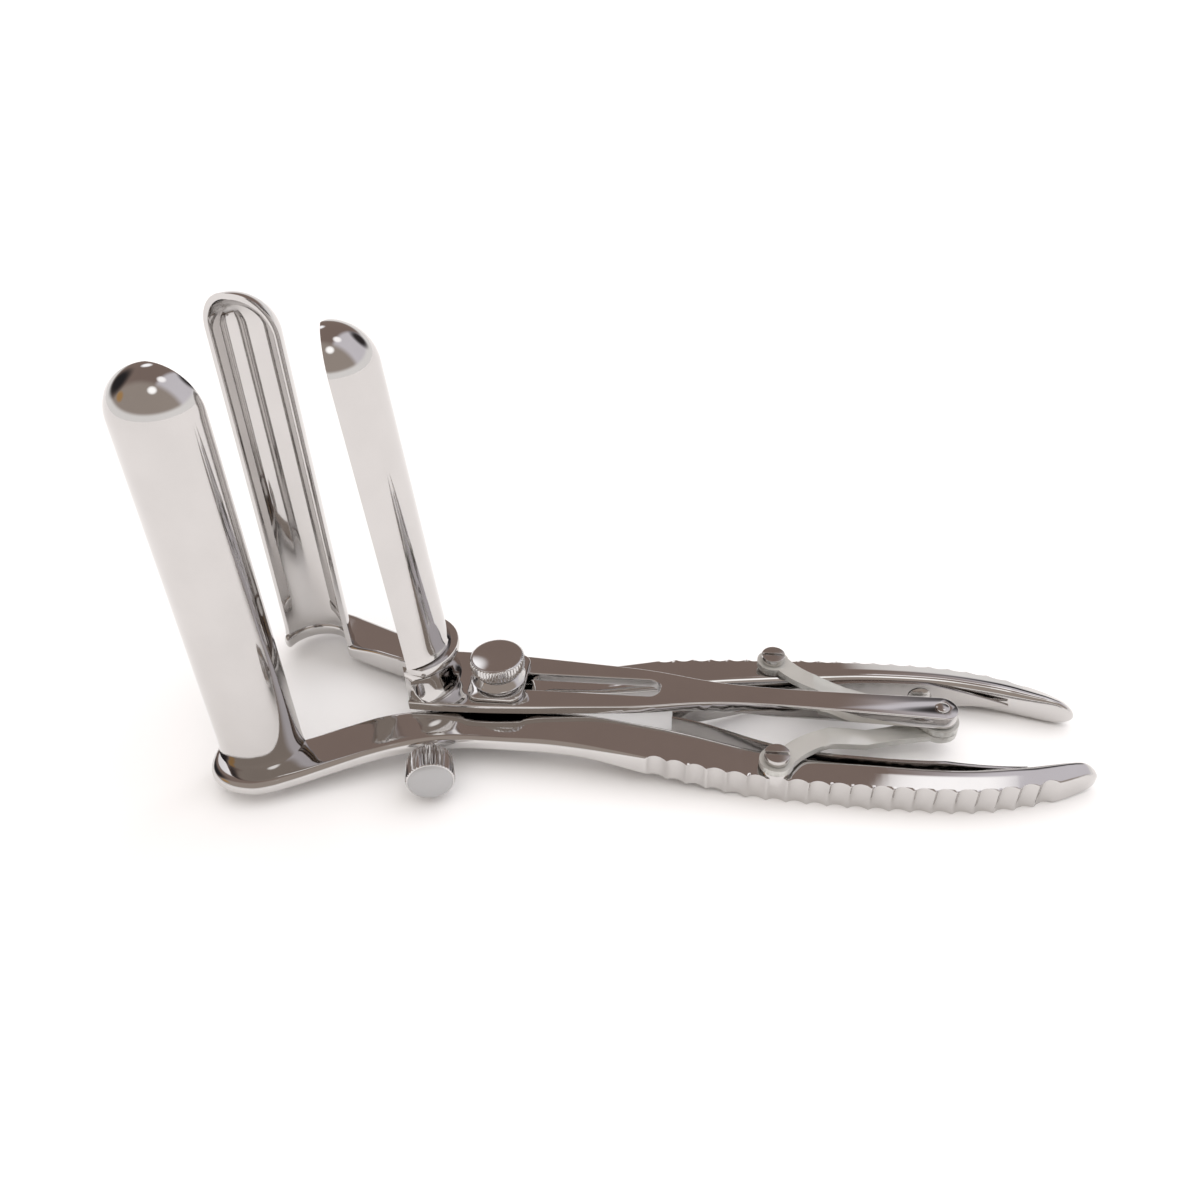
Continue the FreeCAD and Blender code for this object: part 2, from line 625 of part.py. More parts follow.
# The tail bar's top slopes down towards its end; the head clears it at its highest side.
head_side = pin_x - size("tail_pin_head_radius")
bar_slope = (size("plate_top") - size("tail_top")) / (TAIL_END - TAIL_START)
pin_head_level = size("tail_top") + bar_slope * (TAIL_END - head_side) + 0.03
pin_shank = cylinder("tail_pin_shank", "sizes.tail_pin_radius",
                     f"{pin_head_level + 0.3} - {pin_foot}",
                     at=(pin_x, 0, pin_foot))
pin_base = cylinder("tail_pin_base", "sizes.tail_pin_base_radius", "sizes.tail_pin_base_height",
                    at=(pin_x, 0, pin_foot))
pin_head = cylinder("tail_pin_head", "sizes.tail_pin_head_radius", "sizes.tail_pin_head_height",
                    at=(pin_x, 0, pin_head_level))
node(fuse("tail_pin_solid", pin_shank, pin_base, pin_head), "tail_pin")

# ----------------------------------------------------------- leaf springs
SPRING_LINE = [(123.0, -10.7), (113.0, -12.6), (102.6, -13.5), (90.0, -13.4), (76.0, -11.9),
               (62.0, -8.2), (50.0, -3.5), (42.0, -1.4)]
thickness = size("spring_thickness")
spring_plan = closed_sketch("spring_plan", [
    spline(SPRING_LINE),
    line(SPRING_LINE[-1], (SPRING_LINE[-1][0], SPRING_LINE[-1][1] + thickness)),
    spline([(x, y + thickness) for x, y in reversed(SPRING_LINE)]),
    line((SPRING_LINE[0][0], SPRING_LINE[0][1] + thickness), SPRING_LINE[0]),
])
# The leaf is widest at its rivet and comes to a point towards the handle's tip.
spring_side = closed_sketch("spring_side", polygon([
    (40.0, 1.6), (40.0, 5.4), (66.0, 6.4), (86.0, 7.8), (104.0, 8.2), (123.2, 5.2),
    (123.2, 4.7), (104.0, 0.6), (86.0, 0.7), (66.0, 0.9)]), upright=True)


def spring(label, side):
    """A leaf spring riveted to the inner face of a handle."""
    strip = common(
        f"{label}_strip",
        extrusion(f"{label}_band", spring_plan, "0", "10"),
        extrusion(f"{label}_profile", spring_side, "-30", "30", direction=(0, 1, 0)))
    hole = cylinder(f"{label}_hole", "sizes.rivet_bore", "30",
                    at=(size("rivet_x"), 0, size("rivet_level")), axis=(0, -1, 0))
    leaf = cut(f"{label}_solid", strip, hole)
    return node(mirrored(f"{label}_far", leaf) if side > 0 else leaf, label)


def rivet(label, side):
    """The rivet through handle and spring, domed on the spring side."""
    x, level = size("rivet_x"), size("rivet_level")
    face = 13.5 - thickness - size("rivet_head_gap")
    shank = cylinder(f"{label}_shank", "sizes.rivet_radius", "sizes.rivet_length",
                     at=(x, side * face, level), axis=(0, side, 0))
    head = cylinder(f"{label}_head", "sizes.rivet_head_radius", "sizes.rivet_head_height",
                    at=(x, side * (face - size("rivet_head_height")), level),
                    axis=(0, side, 0))
    return node(fuse(f"{label}_solid", shank, head), label)


for side, prefix in ((-1, "near"), (1, "far")):
    spring(f"{prefix}_spring", side)
    rivet(f"{prefix}_spring_rivet", side)

# ---------------------------------------------------------- check and write
doc.recompute()
for obj in doc.Objects:
    if "Invalid" in obj.State or "Error" in obj.State:
        raise RuntimeError(f"{obj.Name} failed: {obj.State}")
os.makedirs("parts", exist_ok=True)
for obj in NODES:
    shape = obj.Shape
    if shape.isNull() or not shape.isValid() or len(shape.Solids) != 1:
        raise RuntimeError(f"{obj.Label}: null, invalid or {len(shape.Solids)} solids")
for obj in NODES:
    obj.Shape.exportStep(f"parts/{obj.Label}.step")
    box = obj.Shape.BoundBox
    print(f"{obj.Label:20s} volume {obj.Shape.Volume:9.1f}  x {box.XMin:7.2f} {box.XMax:7.2f}"
          f"  y {box.YMin:7.2f} {box.YMax:7.2f}  z {box.ZMin:6.2f} {box.ZMax:6.2f}")
print(len(NODES), "nodes")
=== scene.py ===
# %% [markdown]
# # A three-bladed speculum in polished steel
# The object is a spring-handled surgical speculum: two levers lap at a pivot,
# each carries an upright blade, and a third blade rides on a slotted arm.
# The imported CAD model is the frame.  Each piece below is built over one CAD part,
# in metres and in the same place, with the rounding and finish of real polished steel.

# %% Load the frame
import bpy, bmesh, math
from mathutils import Matrix, Vector


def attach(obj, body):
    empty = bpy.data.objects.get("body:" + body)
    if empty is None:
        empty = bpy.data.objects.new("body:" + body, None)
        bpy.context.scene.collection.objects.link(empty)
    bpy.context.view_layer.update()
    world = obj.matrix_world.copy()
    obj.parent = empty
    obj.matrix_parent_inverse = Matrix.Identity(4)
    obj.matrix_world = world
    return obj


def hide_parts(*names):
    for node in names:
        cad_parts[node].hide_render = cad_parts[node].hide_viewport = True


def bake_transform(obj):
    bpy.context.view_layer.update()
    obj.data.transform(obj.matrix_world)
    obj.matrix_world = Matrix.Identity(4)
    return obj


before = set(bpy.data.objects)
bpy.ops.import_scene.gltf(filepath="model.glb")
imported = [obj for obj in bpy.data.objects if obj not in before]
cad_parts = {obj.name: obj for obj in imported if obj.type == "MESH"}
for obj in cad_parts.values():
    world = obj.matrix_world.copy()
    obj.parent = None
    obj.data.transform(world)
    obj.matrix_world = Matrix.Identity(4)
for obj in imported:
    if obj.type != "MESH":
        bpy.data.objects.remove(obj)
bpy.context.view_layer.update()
MM = 0.001

# %% [markdown]
# ## Shader maths as plain expressions
# A material is a graph of nodes.  Wiring maths nodes by hand is slow to read, so a small
# class wraps a socket and turns `a * 2 + b` into Math nodes.  Any other node comes from
# `add_node`, which sets the node's own settings first and its sockets after.

# %% A wrapped socket and a finish
class Wire:
    """One output socket, with the arithmetic operators that the finishes use."""

    def __init__(self, tree, socket):
        self.tree, self.socket = tree, socket

    def math(self, operation, first, second):
        maths = self.tree.nodes.new("ShaderNodeMath")
        maths.operation = operation
        for slot, value in zip(maths.inputs, (first, second)):
            join(self.tree, slot, value)
        return Wire(self.tree, maths.outputs[0])

    def __add__(self, other): return self.math("ADD", self, other)
    def __sub__(self, other): return self.math("SUBTRACT", self, other)
    def __rsub__(self, other): return self.math("SUBTRACT", other, self)
    def __mul__(self, other): return self.math("MULTIPLY", self, other)
    def __truediv__(self, other): return self.math("DIVIDE", self, other)
    def __pow__(self, other): return self.math("POWER", self, other)


def join(tree, slot, value):
    """Put a value, or the end of a wire, into an input socket."""
    if isinstance(value, Wire):
        tree.links.new(value.socket, slot)
    else:
        slot.default_value = value


def add_node(tree, kind, settings=None, out=0, **sockets):
    """Make a node: settings first, then sockets named by their labels."""
    made = tree.nodes.new(kind)
    for key, value in (settings or {}).items():
        if key == "stops":
            for stop, (place, colour) in zip(made.color_ramp.elements, value):
                stop.position, stop.color = place, colour
        else:
            setattr(made, key, value)
    for name, value in sockets.items():
        join(tree, made.inputs[name.replace("_", " ")], value)
    return Wire(tree, made.outputs[out])


# %% [markdown]
# ## Six steels
# Mirror-polished steel is a metal with a low roughness.  What makes it look real is what
# disturbs the mirror: faint wipe marks that change the roughness, and a long, very
# shallow waviness left by the polishing wheel.  Satin, spring and turned steel use the
# same recipe with finer and stronger marks.

# %% A steel recipe
LIGHTER, DARKER = 1.02, 0.98
MARK_DEPTH, WAVE_DEPTH = 0.00002, 0.001


def steel(name, colour, rough, marks, mark_scale, wave, wave_size, stretch=(1, 1, 1),
          metal=1.0):
    """A procedural metal: cloudy roughness, hairline marks and a shallow waviness."""
    finish = bpy.data.materials.new(name)
    finish.use_nodes = True
    tree = finish.node_tree
    shader = tree.nodes["Principled BSDF"]
    place = add_node(tree, "ShaderNodeTexCoord", out=3)
    grain_place = add_node(tree, "ShaderNodeMapping", Vector=place,
                           Scale=tuple(mark_scale * s for s in stretch))
    grain = add_node(tree, "ShaderNodeTexNoise", Vector=grain_place, Scale=1.0, Detail=3.0,
                     Roughness=0.6)
    cloud = add_node(tree, "ShaderNodeTexNoise", Vector=place, Scale=90.0, Detail=4.0,
                     Roughness=0.55)
    swell = add_node(tree, "ShaderNodeTexNoise", Vector=place, Scale=wave_size, Detail=1.0,
                     Roughness=0.4)
    shader.inputs["Metallic"].default_value = metal
    light = tuple(min(1.0, c * LIGHTER) for c in colour)
    dark = tuple(c * DARKER for c in colour)
    tint = add_node(tree, "ShaderNodeValToRGB",
                    {"stops": [(0.35, (*dark, 1)), (0.65, (*light, 1))]}, Fac=cloud)
    join(tree, shader.inputs["Base Color"], tint)
    join(tree, shader.inputs["Roughness"], cloud * (rough * 0.5) + grain * marks + rough * 0.6)
    relief = grain * (marks * MARK_DEPTH) + swell * (wave * WAVE_DEPTH)
    bump = add_node(tree, "ShaderNodeBump", Height=relief, Strength=1.0, Distance=1.0)
    join(tree, shader.inputs["Normal"], bump)
    return finish


polished = steel("mirror_polish", (0.62, 0.605, 0.595), rough=0.055, marks=0.02,
                 mark_scale=900, wave=0.006, wave_size=45)
knurled = steel("bright_knurl", (0.66, 0.65, 0.645), rough=0.12, marks=0.05,
                mark_scale=2200, wave=0.001, wave_size=200)
satin = steel("satin_strip", (0.62, 0.62, 0.59), rough=0.40, marks=0.10,
              mark_scale=1800, wave=0.002, wave_size=150, stretch=(0.15, 1, 1), metal=0.55)
ground = steel("ground_end", (0.47, 0.47, 0.475), rough=0.48, marks=0.10,
               mark_scale=2500, wave=0.001, wave_size=150, metal=0.5)
spring_steel = steel("blued_spring", (0.50, 0.48, 0.465), rough=0.16, marks=0.08,
                     mark_scale=1500, wave=0.003, wave_size=120, stretch=(0.12, 1, 1))
turned_steel = steel("lathe_finish", (0.58, 0.565, 0.55), rough=0.17, marks=0.06,
                     mark_scale=2400, wave=0.001, wave_size=150)


# %% [markdown]
# ## From points to pieces
# Most pieces here are *lofts*: a ring of points is worked out again and again along the
# piece, and neighbouring rings are joined by quads.  A loft keeps long smooth rows of
# quads, which a mirror finish needs, because every dent in the mesh shows in it.

# %% Make a piece from rings of points
WELD, SLIVER = 2e-6, 1e-6


def in_metres(name, verts, faces):
    """A mesh from points given in millimetres."""
    mesh = bpy.data.meshes.new(name)
    mesh.from_pydata([tuple(c * MM for c in v) for v in verts], [], faces)
    return mesh


def piece(name, verts, faces, finish, body, node=None, sharp=35):
    """A mesh object, given in millimetres, that rides on a body and may stand for a node."""
    return dress(name, in_metres(name, verts, faces), finish, body, node, sharp)


def dress(name, mesh, finish, body, node=None, sharp=35):
    """Clean a mesh, shade it, hang it on its body and hide the CAD node that it replaces."""
    shape = bmesh.new()
    shape.from_mesh(mesh)
    bmesh.ops.remove_doubles(shape, verts=shape.verts, dist=WELD)
    bmesh.ops.dissolve_degenerate(shape, edges=shape.edges, dist=SLIVER)
    bmesh.ops.recalc_face_normals(shape, faces=shape.faces)
    shape.to_mesh(mesh)
    shape.free()
    mesh.polygons.foreach_set("use_smooth", [True] * len(mesh.polygons))
    mesh.set_sharp_from_angle(angle=math.radians(sharp))
    mesh.materials.clear()
    mesh.materials.append(finish)
    obj = bpy.data.objects.new(name, mesh)
    bpy.context.collection.objects.link(obj)
    if body:
        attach(obj, body)
    if node:
        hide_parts(*([node] if isinstance(node, str) else node))
    print(f"{name}: {len(mesh.polygons)} faces, {finish.name}")
    return obj


def loft(rings):
    """Vertices and faces of a closed shell through rings of equal length."""
    count = len(rings[0])
    verts = [p for ring in rings for p in ring]
    faces = [(r * count + i, r * count + (i + 1) % count,
              (r + 1) * count + (i + 1) % count, (r + 1) * count + i)
             for r in range(len(rings) - 1) for i in range(count)]
    faces.append(tuple(reversed(range(count))))
    last = (len(rings) - 1) * count
    faces.append(tuple(range(last, last + count)))
    return verts, faces


# %% [markdown]
# ## The blades
# Each blade is a sector of a bullet-nosed tube, so its shape follows a rule: an angle
# round the axis and a distance along it.  Geometry Nodes suit that.  The tree below
# bends a flat grid into the sector, with the blade's sizes as named inputs.  A Solidify
# modifier then gives the wall and a Bevel rounds the rims, as a polisher would.

# %% A Geometry Nodes tree for a bullet-nosed trough
def one(tree, operation, value):
    """A one-input Math node."""
    maths = tree.nodes.new("ShaderNodeMath")
    maths.operation = operation
    join(tree, maths.inputs[0], value)
    return Wire(tree, maths.outputs[0])


def new_tree(name, inputs):
    """A geometry tree: returns it, its inputs as wires, and the step that closes it."""
    tree = bpy.data.node_groups.new(name, "GeometryNodeTree")
    face = tree.interface
    face.new_socket("Geometry", in_out="INPUT", socket_type="NodeSocketGeometry")
    for label, kind in inputs:
        face.new_socket(label, in_out="INPUT", socket_type=kind)
    face.new_socket("Geometry", in_out="OUTPUT", socket_type="NodeSocketGeometry")
    entry = tree.nodes.new("NodeGroupInput")
    values = {label: Wire(tree, entry.outputs[label]) for label, _ in inputs}

    def close(geometry):
        real = add_node(tree, "GeometryNodeRealizeInstances", Geometry=geometry)
        painted = tree.nodes.new("GeometryNodeSetMaterial")
        join(tree, painted.inputs["Geometry"], real)
        join(tree, painted.inputs["Material"], values["Finish"])
        end = tree.nodes.new("NodeGroupOutput")
        tree.links.new(painted.outputs[0], end.inputs[0])

    return tree, values, close


def carrier(name, mesh):
    """A passing object that carries a mesh while modifiers work on it."""
    obj = bpy.data.objects.new(name, mesh)
    bpy.context.collection.objects.link(obj)
    return obj


def applied(obj):
    """The plain mesh that the modifiers of a carrier make; the carrier goes."""
    graph = bpy.context.evaluated_depsgraph_get()
    mesh = bpy.data.meshes.new_from_object(obj.evaluated_get(graph))
    bpy.data.objects.remove(obj)
    return mesh


def grown(tree, name, values, start=None):
    """Evaluate a tree on a mesh, or on nothing, and return the plain mesh that it makes."""
    seed = carrier(name + "_seed", start or bpy.data.meshes.new(name + "_seed"))
    nodes = seed.modifiers.new("grow", "NODES")
    nodes.node_group = tree
    for item in tree.interface.items_tree:
        if item.in_out == "INPUT" and item.name in values:
            nodes[item.identifier] = values[item.name]
    return applied(seed)


F, M = "NodeSocketFloat", "NodeSocketMaterial"
trough, part, finish_trough = new_tree("bullet_nosed_trough", [
    ("Base radius", F), ("Tip radius", F), ("Height", F), ("First angle", F),
    ("Last angle", F), ("Foot flare", F), ("Finish", M)])
GRID_ACROSS, GRID_ALONG = 44, 150
grid = add_node(trough, "GeometryNodeMeshGrid", Size_X=1.0, Size_Y=1.0,
                Vertices_X=GRID_ACROSS, Vertices_Y=GRID_ALONG)
place = add_node(trough, "GeometryNodeInputPosition")
split = trough.nodes.new("ShaderNodeSeparateXYZ")
join(trough, split.inputs[0], place)
across = Wire(trough, split.outputs[0]) + 0.5
along = Wire(trough, split.outputs[1]) + 0.5
# This share of the rows climbs the wall, and the rest turn over the nose, which stops just
# short of the axis.  The foot's flare dies away within the first few rows.
WALL_SHARE, NOSE_TURN, FLARE_DECAY = 0.72, math.pi / 2 * 0.9995, 60.0
climb = one(trough, "MINIMUM", along * (1 / WALL_SHARE))
climb.socket.node.inputs[1].default_value = 1.0
turn = one(trough, "MAXIMUM", (along - WALL_SHARE) * (NOSE_TURN / (1 - WALL_SHARE)))
turn.socket.node.inputs[1].default_value = 0.0
shoulder = part["Height"] - part["Tip radius"]
flare = part["Foot flare"] * ((1 - climb) ** FLARE_DECAY)
radius = (part["Base radius"] + (part["Tip radius"] - part["Base radius"]) * climb
          + flare) * one(trough, "COSINE", turn)
angle = part["First angle"] + (part["Last angle"] - part["First angle"]) * across
rise = climb * shoulder + one(trough, "SINE", turn) * part["Tip radius"]
bent_to = (radius * one(trough, "COSINE", angle), radius * one(trough, "SINE", angle), rise)
joined = trough.nodes.new("ShaderNodeCombineXYZ")
for slot, value in zip(joined.inputs, bent_to):
    join(trough, slot, value)
bent = add_node(trough, "GeometryNodeSetPosition", Geometry=grid,
                Position=Wire(trough, joined.outputs[0]))
finish_trough(bent)
print("trough tree has", len(trough.nodes), "nodes")


# %% [markdown]
# ## Three blades from one tree
# The real blades are forged troughs, polished inside and out, with rounded rims.  Each
# could be modelled by itself, but all three are one trough at other angles, so a single
# function grows them and stands each on its foot.

# %% The three blades
BASE_RADIUS, TIP_RADIUS, WALL, FLARE, RIM_ROUNDING = 10.1, 9.5, 1.3, 0.5, 0.5
SIDE_X, SIDE_Y, CENTRE_X = -54.9, 17.3, -21.8


def blade(name, body, axis, foot, height, first, last, lean):
    """Grow a trough, give it a wall with rounded rims, and stand it on its foot."""
    mesh = grown(trough, name, {
        "Base radius": (BASE_RADIUS - WALL / 2) * MM,
        "Tip radius": (TIP_RADIUS - WALL / 2) * MM,
        "Height": (height - WALL / 2) * MM, "First angle": math.radians(first),
        "Last angle": math.radians(last), "Foot flare": FLARE * MM, "Finish": polished})
    shape = bmesh.new()
    shape.from_mesh(mesh)
    bmesh.ops.remove_doubles(shape, verts=shape.verts, dist=2e-5)
    shape.to_mesh(mesh)
    shape.free()
    rough_cut = carrier(name + "_cut", mesh)
    thick = rough_cut.modifiers.new("wall", "SOLIDIFY")
    thick.thickness, thick.offset, thick.use_even_offset = WALL * MM, 0.0, True
    rims = rough_cut.modifiers.new("rims", "BEVEL")
    rims.width, rims.segments, rims.limit_method = RIM_ROUNDING * MM, 3, "ANGLE"
    rims.angle_limit = math.radians(50)
    thickened = applied(rough_cut)
    thickened.transform(Matrix.Translation(Vector((*axis, foot)) * MM)
                        @ Matrix.Rotation(math.radians(lean), 4, "Y"))
    return dress(name, thickened, polished, body, name, sharp=50)


blade("near_blade", "near_lever", (SIDE_X, -SIDE_Y), foot=6.7, height=95.9,
      first=-158.7, last=-2, lean=1.2)
blade("far_blade", "far_lever", (SIDE_X, SIDE_Y), foot=6.7, height=95.9,
      first=2, last=158.7, lean=1.2)
blade("centre_blade", "centre_arm", (CENTRE_X, 0), foot=24.1, height=79.4,
      first=-73.5, last=73.5, lean=-3.0)

# %% [markdown]
# ## The levers
# A lever is one long forging: a crescent pad under the blade, a cranked waist at the
# pivot and a bowed handle with finger flutes.  It is lofted between two edge curves.
# A spline object would need its handles set one by one, so a few rows are given and a
# smooth curve is worked out through them.

# %% Smooth rows and levels
def smooth_rows(rows, spacing):
    """Rows about spacing mm apart on a curve through all rows (centripetal Catmull-Rom)."""
    out = []
    padded = [[2 * a - b for a, b in zip(rows[0], rows[1])], *rows,
              [2 * a - b for a, b in zip(rows[-1], rows[-2])]]
    for p0, p1, p2, p3 in zip(padded, padded[1:], padded[2:], padded[3:]):
        gap = [max(1e-6, math.dist(a, b) ** 0.5) for a, b in ((p0, p1), (p1, p2), (p2, p3))]
        steps = max(5, round(math.dist(p1[:2], p2[:2]) / spacing))
        for k in range(steps):
            t = k / steps
            point = []
            for a, b, c, d in zip(p0, p1, p2, p3):
                m1 = gap[1] * ((b - a) / gap[0] - (c - a) / (gap[0] + gap[1]) + (c - b) / gap[1])
                m2 = gap[1] * ((c - b) / gap[1] - (d - b) / (gap[1] + gap[2]) + (d - c) / gap[2])
                point.append((2 * t**3 - 3 * t**2 + 1) * b + (t**3 - 2 * t**2 + t) * m1
                             + (3 * t**2 - 2 * t**3) * c + (t**3 - t**2) * m2)
            out.append(point)
    out.append(list(rows[-1]))
    return out


def level(profile, x):
    """Height at x on a profile given as (x, height) pairs, with softened corners."""
    def raw(at):
        for (xa, za), (xb, zb) in zip(profile, profile[1:]):
            if at <= xb:
                return za + (zb - za) * max(0.0, (at - xa) / (xb - xa))
        return profile[-1][1]
    return sum(raw(x + d) for d in (-3, -1.5, 0, 1.5, 3)) / 5


print("a step of 2 mm is softened to", level([(-9, 2), (0, 2), (1, 0), (9, 0)], 0.5))

# %% [markdown]
# ## Sections between two edges
# A forged bar has no flat ends and no hard corners.  It could be a curve with a bevel, but
# a bar whose width changes along its length needs a ring at each station.  Rounded
# ends close the bar, squeezed down in both directions.

# %% Sections between two edges
def rounded(width, depth, edge_out, edge_in, flats=6, turns=6):
    """(across, from top?, drop) of a rounded section, from the inner foot round to the top."""
    points = []
    half = depth / 2
    ro, ri = min(edge_out, half, width / 2), min(edge_in, half, width / 2)

    def arc_of(centre, radius, start, end, top):
        for k in range(turns + 1):
            a = math.radians(start + (end - start) * k / turns)
            points.append((centre + radius * math.cos(a), top,
                           radius - radius * abs(math.sin(a))))

    arc_of(ri, ri, 180, 270, False)
    points.extend((ri + (width - ri - ro) * k / flats, False, 0.0) for k in range(1, flats))
    arc_of(width - ro, ro, 270, 360, False)
    arc_of(width - ro, ro, 0, 90, True)
    points.extend((width - ro - (width - ri - ro) * k / flats, True, 0.0)
                  for k in range(1, flats))
    arc_of(ri, ri, 90, 180, True)
    return points


FIRST_CAP, LAST_CAP, CAP_RINGS = 1.5, 4.0, 10


def ribbon(pairs, spacing, low, high, climb, edges, scoop):
    """Rings of a bar between matched points of its two edges, closed by rounded ends."""
    rows = smooth_rows(pairs, spacing)
    stations = [(Vector((r[0], r[1])), Vector((r[2], r[3])), 1.0) for r in rows]

    def closing(last, before, length):
        out, inn = last[0], last[1]
        middle = (out + inn) / 2
        onward = (middle - (before[0] + before[1]) / 2).normalized()
        made = []
        for k in range(1, CAP_RINGS + 1):
            a = math.radians(89.0 * k / CAP_RINGS)
            shift = onward * (length * math.sin(a))
            made.append((middle + (out - middle) * math.cos(a) + shift,
                         middle + (inn - middle) * math.cos(a) + shift, math.cos(a)))
        return made

    start = closing(stations[0], stations[1], FIRST_CAP)
    finish = closing(stations[-1], stations[-2], LAST_CAP)
    rings = []
    for out, inn, squeeze in list(reversed(start)) + stations + finish:
        over = out - inn
        width = over.length
        over.normalize()
        x_mid = (out.x + inn.x) / 2
        deep = (level(high, x_mid) - level(low, x_mid)) * squeeze
        edge_out, edge_in = edges(x_mid)
        ring = []
        for w, top, drop in rounded(width, deep, edge_out, edge_in):
            w = min(w, width - scoop((inn + over * w).x))
            p = inn + over * w
            zl, zh = level(low, p.x), level(high, p.x)
            mid, half = (zl + zh) / 2, (zh - zl) / 2 * squeeze
            if top:
                z = mid + half - drop + level(climb, p.x) * (1 - w / max(width, 1e-6)) * squeeze
            else:
                z = mid - half + drop
            ring.append((p.x, p.y, z))
        rings.append(ring)
    return rings


def flip(rings):
    """The same rings seen in a mirror at Y = 0."""
    return [[(x, -y, z) for x, y, z in ring] for ring in rings]


# %% [markdown]
# ## Where the edges run
# Each row below pairs a point on the lever's outer edge with one on its inner edge.  The
# pad and the eye are round, so their points come from an angle.  The far lever uses the
# same rows in a mirror, at its own levels.

# %% The lever's edge curves
PAD_AXIS, PAD_INNER, EYE = (SIDE_X, -SIDE_Y), 8.8, 8.6


def on_pad(degrees_round):
    a = math.radians(degrees_round)
    return PAD_AXIS[0] + PAD_INNER * math.cos(a), PAD_AXIS[1] + PAD_INNER * math.sin(a)


def on_eye(degrees_round):
    a = math.radians(degrees_round)
    return EYE * math.cos(a), EYE * math.sin(a)


PAIRS = [
    (-65.1, -21.6, *on_pad(-160)), (-65.1, -24.8, *on_pad(-146)),
    (-63.7, -28.2, *on_pad(-130)), (-60.9, -30.9, *on_pad(-114)),
    (-57.0, -32.5, *on_pad(-98)), (-52.0, -32.8, *on_pad(-80)),
    (-48.2, -31.7, *on_pad(-62)), (-45.0, -30.2, *on_pad(-42)),
    (-42.2, -28.9, *on_pad(-22)), (-39.6, -27.7, -46.1, -17.5),
    (-37.0, -26.5, -43.2, -16.1), (-34.0, -25.1, -38.5, -14.5), (-28.0, -22.5, -30.0, -11.8),
    (-20.0, -19.3, -20.5, -9.3), (-14.0, -17.5, -13.5, -8.0), (-9.0, -16.6, -9.2, -6.4),
    (-6.6, -16.3, *on_eye(205)), (-4.4, -16.1, *on_eye(175)), (-2.2, -16.05, *on_eye(130)),
    (0.0, -16.0, *on_eye(90)), (2.2, -16.0, *on_eye(50)), (4.4, -16.0, *on_eye(5)),
    (7.0, -16.0, *on_eye(-25)), (11.0, -16.0, 10.5, -6.1), (16.0, -16.2, 16.0, -6.6),
    (30.0, -17.6, 30.0, -7.3), (45.0, -19.3, 44.5, -8.5), (60.0, -20.5, 59.0, -10.8),
    (76.0, -21.3, 75.0, -13.0), (94.0, -21.6, 92.5, -14.2), (110.0, -20.8, 107.5, -14.0),
    (122.0, -18.2, 119.5, -12.2), (131.0, -14.6, 128.5, -10.3), (135.2, -12.4, 134.0, -9.2)]
print("rows along a lever:", len(PAIRS))

# %% [markdown]
# ## Flutes and levels
# Scallops along the handle's outer side give the fingers a hold.  Cutting each one with a
# boolean would break up the long quads, so the section is held back by a rule instead.
# Tables of levels then say where the top and the underside run on each lever.

# %% Flutes, levels and the two levers
FLUTE_PITCH, FLUTE_FIRST, FLUTES = 4.55, 39.5, 20
FLUTE_RADIUS, FLUTE_DEPTH = 3.2, 1.15


def flute_scoop(x):
    """How far the outer side is held back at x by the nearest finger flute."""
    nearest = min(FLUTES - 1, max(0, round((x - FLUTE_FIRST) / FLUTE_PITCH)))
    off = abs(x - FLUTE_FIRST - nearest * FLUTE_PITCH)
    if off >= FLUTE_RADIUS:
        return 0.0
    return max(0.0, FLUTE_DEPTH - FLUTE_RADIUS + math.sqrt(FLUTE_RADIUS**2 - off**2))


# Levels along the levers, as (x, level): the top at its outer edge, its climb to the inner
# edge, and the underside.
HANDLE_HIGH = [(62, 7), (122, 7), (134.5, 6.4), (140, 4.6)]
HANDLE_CLIMB = [(62, 1.2), (78, 1.2), (88, 1.9), (134.5, 1.9), (140, 1.0)]
HANDLE_LOW = [(62, 0), (122, 0), (134.5, 0.2), (140, 1.5)]
NEAR_HIGH = [(-80, 7), (-44.6, 7), (-26, 9.2), (-12, 9.6), (24, 9.6), (38, 9.1), *HANDLE_HIGH]
NEAR_CLIMB = [(-80, 0), (-44.6, 0), (-26, 1.5), (38, 1.5), *HANDLE_CLIMB]
NEAR_LOW = [(-80, 3), (-44.6, 3), (-26, 5.45), (24, 5.45), (38, 3.45), *HANDLE_LOW]
FAR_HIGH = [(-80, 7), (-27, 7), (-13, 5.3), (24, 5.3), (40, 7), *HANDLE_HIGH]
FAR_CLIMB = [(-80, 0), (-44.6, 0), (-38, 1.5), (-27, 1.5), (-13, 0), (24, 0), (40, 1.3),
             *HANDLE_CLIMB]
FAR_LOW = [(-80, 3), (-44.6, 3), (-38, 2.2), (-27, 1.5), (24, 1.5), (40, 1.3), *HANDLE_LOW]


# Rounding of the outer and inner corners on the pad, and how the waist and handle change it.
PAD_ROUNDING, WAIST_CHANGE, HANDLE_CHANGE = (1.9, 1.3), (-0.5, -0.4), (-0.9, 2.1)
RING_SPACING = 0.32


def lever_edges(x):
    """The two roundings at x: the pad is full and the fluted edge crisp."""
    waist = min(1.0, max(0.0, (x + 48) / 20))
    handle = min(1.0, max(0.0, (x - 20) / 18))
    return [full + by_waist * waist + by_handle * handle
            for full, by_waist, by_handle in zip(PAD_ROUNDING, WAIST_CHANGE, HANDLE_CHANGE)]


